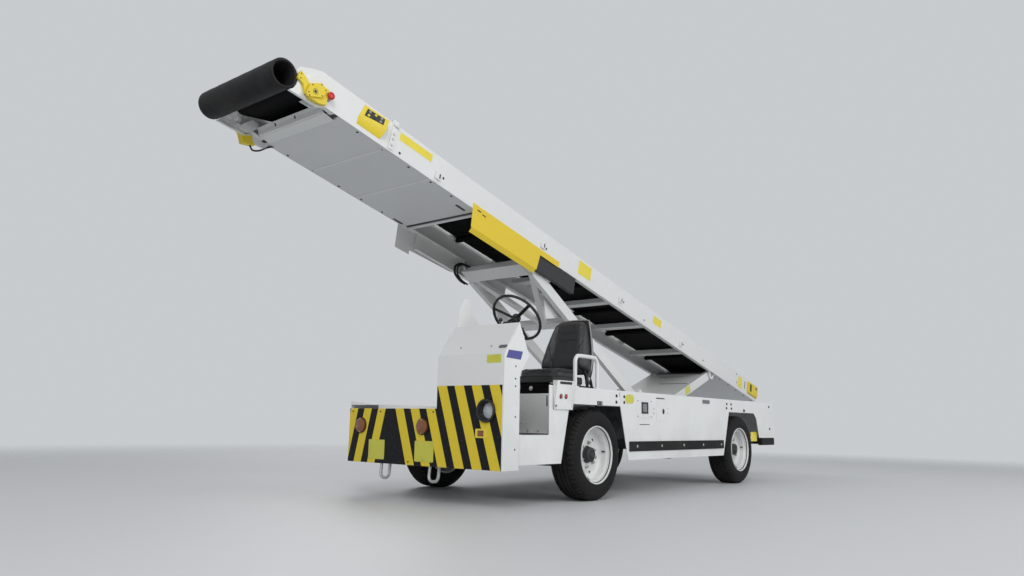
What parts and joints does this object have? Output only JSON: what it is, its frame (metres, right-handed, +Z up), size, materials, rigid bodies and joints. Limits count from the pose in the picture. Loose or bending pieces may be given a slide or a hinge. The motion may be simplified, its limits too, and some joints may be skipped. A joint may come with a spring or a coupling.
{
  "type": "baggage belt loader",
  "caption": "Self-propelled belt loader: an inclined baggage conveyor lifted by arms over a low four-wheeled chassis with an open driver station.",
  "frame": {"origin": "on the ground under the middle of the overall length and width", "axes": "+X to the vehicle's left, -Y to the front, +Z up"},
  "size_m": [1.87, 7.7851, 2.861],
  "materials": {
    "black_steel": "satin",
    "engine_paint": "satin",
    "body_white": "gloss",
    "rubber_black": "matte",
    "seat_vinyl": "satin",
    "guard_yellow": "satin",
    "steering_black": "matte",
    "lamp": "gloss",
    "tyre": "matte",
    "rim_white": "satin",
    "lift_white": "satin",
    "machined_steel": "satin",
    "rod_chrome": "polished"
  },
  "bodies": {
    "chassis": {"chassis_rails": "black_steel", "cross_members": "black_steel", "lift_brackets": "black_steel", "front_axle": "black_steel", "rear_axle": "black_steel", "engine_block": "engine_paint", "front_panel": "body_white", "console_hood": "body_white", "console_sides": "body_white", "driver_tub": "body_white", "side_panels": "body_white", "side_decks": "body_white", "deck_walls": "body_white", "bay_floor": "body_white", "deck_supports": "body_white", "rear_panel": "body_white", "rubber_strips": "rubber_black", "seat_base": "black_steel", "seat_cushion": "seat_vinyl", "seat_back": "seat_vinyl", "guard_bar": "lift_white", "steering_column": "black_steel", "lamps": "lamp", "tow_loops": "black_steel"},
    "knuckle_left": {"knuckle_left": "black_steel"},
    "knuckle_right": {"knuckle_right": "black_steel"},
    "wheel_front_left": {"tyre_front_left": "tyre", "rim_front_left": "rim_white"},
    "wheel_front_right": {"tyre_front_right": "tyre", "rim_front_right": "rim_white"},
    "wheel_rear_left": {"tyre_rear_left": "tyre", "rim_rear_left": "rim_white"},
    "wheel_rear_right": {"tyre_rear_right": "tyre", "rim_rear_right": "rim_white"},
    "tie_rod": {"tie_rod": "black_steel"},
    "steering_wheel": {"steering_wheel": "steering_black"},
    "front_arm": {"front_arm": "lift_white"},
    "rear_arm": {"rear_arm": "lift_white"},
    "pivot_shaft": {"pivot_shaft": "machined_steel"},
    "front_barrels": {"front_barrels": "black_steel"},
    "front_rods": {"front_rods": "rod_chrome"},
    "rear_barrels": {"rear_barrels": "black_steel"},
    "rear_rods": {"rear_rods": "rod_chrome"},
    "conveyor": {"conveyor_frame": "lift_white", "conveyor_pans": "lift_white", "belt": "rubber_black", "belt_pulleys": "machined_steel", "nose_bumper": "rubber_black", "conveyor_guards": "guard_yellow", "conveyor_controls": "guard_yellow"}
  },
  "joints": [
    {"name": "rear_lift", "type": "hinge", "parent": "chassis", "child": "rear_arm", "pos_m": [-0.265, 1.195, 0.733], "axis": [1, 0, 0], "range_deg": [-10, 7]},
    {"name": "conveyor_pin", "type": "hinge", "parent": "rear_arm", "child": "pivot_shaft", "pos_m": [-0.265, 2.51511, 1.20515], "axis": [1, 0, 0], "range_deg": [-4.71, 6.72]},
    {"name": "front_lift", "type": "hinge", "parent": "pivot_shaft", "child": "conveyor", "pos_m": [-0.265, 2.51511, 1.20515], "axis": [-1, 0, 0], "range_deg": [-13, 10]},
    {"name": "front_arm_swing", "type": "hinge", "parent": "chassis", "child": "front_arm", "pos_m": [-0.265, 1.115, 0.6], "axis": [-1, 0, 0], "range_deg": [-19.26, 14.82]},
    {"name": "front_cylinder_tilt", "type": "hinge", "parent": "chassis", "child": "front_barrels", "pos_m": [-0.265, 0.298, 0.4], "axis": [1, 0, 0], "range_deg": [-1.12, 0.87]},
    {"name": "front_rod_stroke", "type": "slide", "parent": "front_barrels", "child": "front_rods", "axis": [0, 0.6122, 0.7907], "range_m": [-0.1742, 0.1341]},
    {"name": "rear_cylinder_tilt", "type": "hinge", "parent": "chassis", "child": "rear_barrels", "pos_m": [-0.265, 1.74, 0.465], "axis": [1, 0, 0], "range_deg": [-5.06, 3.55]},
    {"name": "rear_rod_stroke", "type": "slide", "parent": "rear_barrels", "child": "rear_rods", "axis": [0, 0.1412, 0.99], "range_m": [-0.1018, 0.0714]},
    {"name": "steer_left", "type": "hinge", "parent": "chassis", "child": "knuckle_left", "pos_m": [0.62, -1.285, 0.345], "axis": [0, 0, 1], "range_deg": [-35, 35]},
    {"name": "steer_right", "type": "hinge", "parent": "chassis", "child": "knuckle_right", "pos_m": [-0.62, -1.285, 0.345], "axis": [0, 0, 1], "range_deg": [-35.02, 35.02]},
    {"name": "steering_wheel_turn", "type": "hinge", "parent": "chassis", "child": "steering_wheel", "pos_m": [0.54, -1.853, 1.373], "axis": [0, 0.7431, 0.6691], "range_deg": [-525.02, 525.02]},
    {"name": "tie_rod_shift", "type": "slide", "parent": "chassis", "child": "tie_rod", "axis": [1, 0, 0], "range_m": [-0.0925, 0.0925]},
    {"name": "spin_front_left", "type": "hinge", "parent": "knuckle_left", "child": "wheel_front_left", "pos_m": [0, -1.285, 0.345], "axis": [1, 0, 0], "continuous": true},
    {"name": "spin_front_right", "type": "hinge", "parent": "knuckle_right", "child": "wheel_front_right", "pos_m": [0, -1.285, 0.345], "axis": [1, 0, 0], "continuous": true},
    {"name": "spin_rear_left", "type": "hinge", "parent": "chassis", "child": "wheel_rear_left", "pos_m": [0, 1.475, 0.345], "axis": [1, 0, 0], "continuous": true},
    {"name": "spin_rear_right", "type": "hinge", "parent": "chassis", "child": "wheel_rear_right", "pos_m": [0, 1.475, 0.345], "axis": [1, 0, 0], "continuous": true}
  ],
  "couplings": [
    {"joint": "conveyor_pin", "follows": "rear_lift", "ratio": -0.67},
    {"joint": "rear_cylinder_tilt", "follows": "rear_lift", "ratio": 0.5044},
    {"joint": "rear_rod_stroke", "follows": "rear_lift", "m_per_rad": 0.58055},
    {"joint": "front_arm_swing", "follows": "front_lift", "ratio": 1.48},
    {"joint": "front_cylinder_tilt", "follows": "front_lift", "ratio": 0.0846},
    {"joint": "front_rod_stroke", "follows": "front_lift", "m_per_rad": 0.7657},
    {"joint": "steer_right", "follows": "steer_left", "ratio": 1},
    {"joint": "steering_wheel_turn", "follows": "steer_left", "ratio": 15},
    {"joint": "tie_rod_shift", "follows": "steer_left", "m_per_rad": -0.15}
  ]
}
